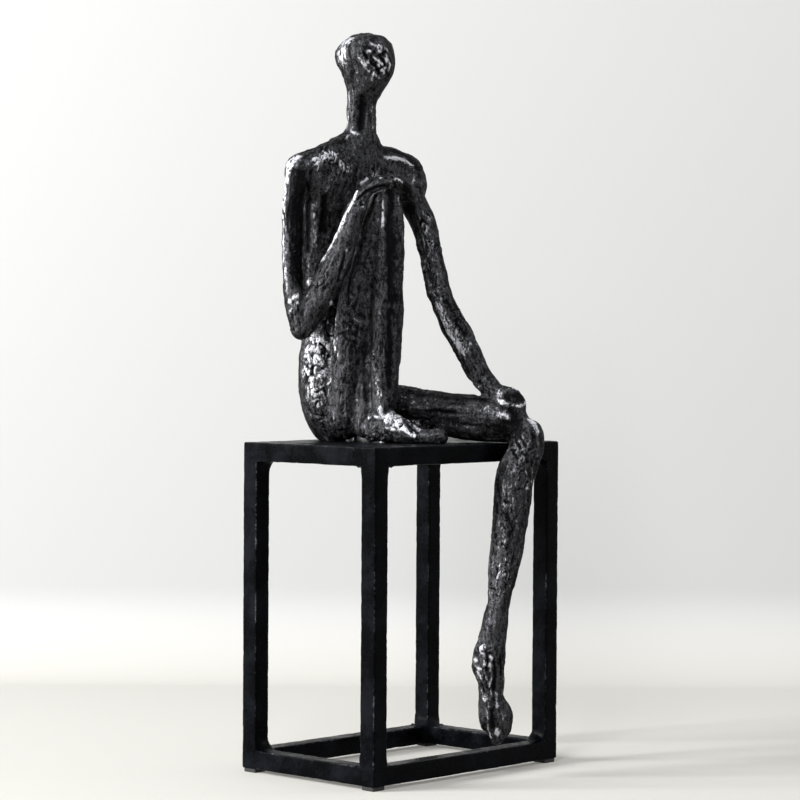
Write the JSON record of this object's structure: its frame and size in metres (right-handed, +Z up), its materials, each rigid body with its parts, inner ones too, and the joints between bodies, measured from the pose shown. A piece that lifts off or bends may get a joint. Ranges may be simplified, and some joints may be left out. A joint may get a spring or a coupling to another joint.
{
  "type": "seated figure ornament",
  "caption": "Seated slender abstract figure of rough dark cast metal, one knee raised and one leg hanging from an open stand of square bar.",
  "frame": {"origin": "on the table under the middle of the whole statue, its hanging leg included", "axes": "+Z up; X along the stand's longer sides; -Y towards the side where the leg hangs down"},
  "size_m": [0.144, 0.1191, 0.3922],
  "materials": {
    "casting": "rough cast, black patina rubbed back to bright silver on the high spots",
    "stand": "blue-black painted steel, edges worn bright",
    "steel_fixings": "plain",
    "pad": "matt black"
  },
  "bodies": {
    "root": {"torso": "casting", "head_neck": "casting", "right_leg": "casting", "left_leg": "casting", "right_arm": "casting", "left_arm": "casting", "seat_plate": "stand", "post_front_left": "stand", "post_front_right": "stand", "post_rear_left": "stand", "post_rear_right": "stand", "bottom_rail_front": "stand", "bottom_rail_rear": "stand", "bottom_rail_left": "stand", "bottom_rail_right": "stand", "top_rail_front": "stand", "top_rail_rear": "stand", "top_rail_left": "stand", "top_rail_right": "stand", "weld_beads": "stand", "joint_dowels": "steel_fixings", "fixing_screws": "steel_fixings", "foot_pad_front_left": "pad", "foot_pad_front_right": "pad", "foot_pad_rear_left": "pad", "foot_pad_rear_right": "pad"}
  },
  "joints": []
}
